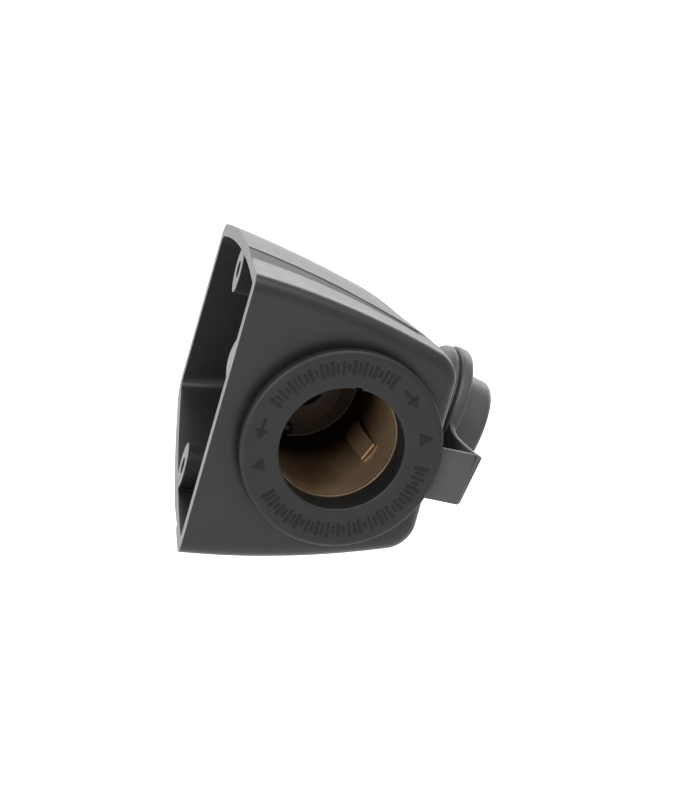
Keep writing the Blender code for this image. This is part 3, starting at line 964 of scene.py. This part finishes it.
def build_cap():
    """The cap: domed back, groove, flange and hollow plug."""
    back = CAP_THICK + GROOVE_WIDTH
    dome = [(DOME_RADIUS * sin(angle), -back - DOME_HEIGHT * cos(angle))
            for angle in quarter_turn(24)]
    before_lip = (0, -50)
    bore = PLUG_RADIUS - PLUG_WALL
    rest = rounded([
        before_lip, (DOME_RADIUS - DOME_LIP, -back + GROOVE_LEAN),
        (GROOVE_RADIUS, -CAP_THICK - GROOVE_LEAN), (CAP_RADIUS, -CAP_THICK), (CAP_RADIUS, 0),
        (PLUG_RADIUS, 0), (PLUG_RADIUS, PLUG_LENGTH), (bore, PLUG_LENGTH),
        (bore, PLUG_FLOOR), (0, PLUG_FLOOR)],
        [0, 0.12, 0.15, 0.7, 0.7, 0.35, 1.3, 0.4, 0.5, 0], 6)
    profile = dome + rest[1:]
    cap = finished("cap_moulding", spun(profile, 192), cap_frame(), [LOOKS["rubber"]], sharp=50)
    show(cap, "cap", "cap_rubber", "cap")


def build_cap_strap():
    """The strap's moving leg from the fold to the cap's edge, and the fold's round knuckle."""
    hinge = hinge_frame()
    centre = hinge.inverted() @ cap_frame().translation / MM
    length = hypot(centre.x, centre.y) - CAP_RADIUS + LEG_OVERLAP
    heading = atan2(centre.y, centre.x)
    path = []
    steps = 30
    for step in range(steps + 1):
        part = step / steps
        x = length * part
        y = LEG_OFFSET * part + LEG_BOW * sin(pi * part)
        path.append((x * cos(heading) - y * sin(heading), x * sin(heading) + y * cos(heading)))
    leg = ribbon("cap_strap_leg", path, hinge, strap_section(), "rubber")
    show(leg, "cap", "cap_rubber")
    half = STRAP_WIDTH / 2
    knuckle = turned("cap_strap_fold", hoop(0, KNUCKLE_RADIUS, -half, half), [0, 0.25, 0.25, 0],
                     hinge, "rubber", 48, 3)
    show(knuckle, "cap", "cap_rubber")


build_housing()
build_socket()
build_flange_marks()
build_thread()
build_lock_washer()
build_locknut()
build_barrel()
build_rear_shell()
build_centre_contact()
build_discs()
plate_small_parts()
build_tether()
build_cap()
build_cap_strap()


# ---------------------------------------------------------------- stage

def aim(thing, target, roll_up):
    """Turns an object's -z to a point with the given direction upwards."""
    back = (thing.location - target).normalized()
    right = roll_up.cross(back).normalized()
    up = back.cross(right)
    thing.rotation_euler = Matrix((right, up, back)).transposed().to_euler()


def build_camera():
    """A distant camera whose picture is VIEW_HEIGHT tall at the part."""
    scene = bpy.context.scene
    camera = bpy.data.objects.new("camera", bpy.data.cameras.new("camera"))
    scene.collection.objects.link(camera)
    scene.camera = camera
    image_right = IMAGE_UP.cross(TO_VIEWER).normalized()
    corner = Vector((0, -FACE_OFFSET, HALF_HEIGHT))
    centre = corner + image_right * CENTRE_RIGHT - IMAGE_UP * CENTRE_DOWN
    camera.data.lens = SENSOR * CAMERA_DISTANCE_M / (VIEW_HEIGHT * MM)
    camera.data.sensor_fit = "VERTICAL"
    camera.data.sensor_height = SENSOR
    camera.data.clip_end = 20
    camera.location = centre * MM + TO_VIEWER * CAMERA_DISTANCE_M
    aim(camera, centre * MM, IMAGE_UP)


def build_floor():
    """A plain pale floor below the part, which is shown held up."""
    bpy.ops.mesh.primitive_plane_add(size=FLOOR_SIZE_M, location=(0, 0, FLOOR_Z_M))
    floor = bpy.context.object
    floor.name = "floor"
    paint = bpy.data.materials.new("pale_floor")
    paint.use_nodes = True
    shader = paint.node_tree.nodes["Principled BSDF"]
    shader.inputs["Base Color"].default_value = (0.93, 0.93, 0.93, 1)
    shader.inputs["Roughness"].default_value = 0.9
    floor.data.materials.append(paint)


def area_light(name, location, width, height, power):
    """A soft light aimed at the part. Its place and size are in metres."""
    light = bpy.data.objects.new(name, bpy.data.lights.new(name, "AREA"))
    light.data.shape = "RECTANGLE"
    light.data.size = width
    light.data.size_y = height
    light.data.energy = power
    light.location = location
    bpy.context.scene.collection.objects.link(light)
    aim(light, Vector((0.02, 0, 0)), Vector((0.01, 0.02, 1)))


def build_light():
    """A white world and three soft lights."""
    world = bpy.data.worlds.new("studio")
    bpy.context.scene.world = world
    world.use_nodes = True
    background = world.node_tree.nodes["Background"]
    background.inputs["Color"].default_value = (1, 1, 1, 1)
    background.inputs["Strength"].default_value = 1.0
    area_light("key", (-0.85, -1.25, 0.55), 0.6, 0.6, 17.0)
    area_light("top", (0.05, -0.35, 1.4), 1.2, 1.0, 18.0)
    area_light("back", (0.25, 2.2, 0.75), 3.2, 0.9, 28.0)
    bpy.context.scene.view_settings.view_transform = "Standard"


build_camera()
build_floor()
build_light()
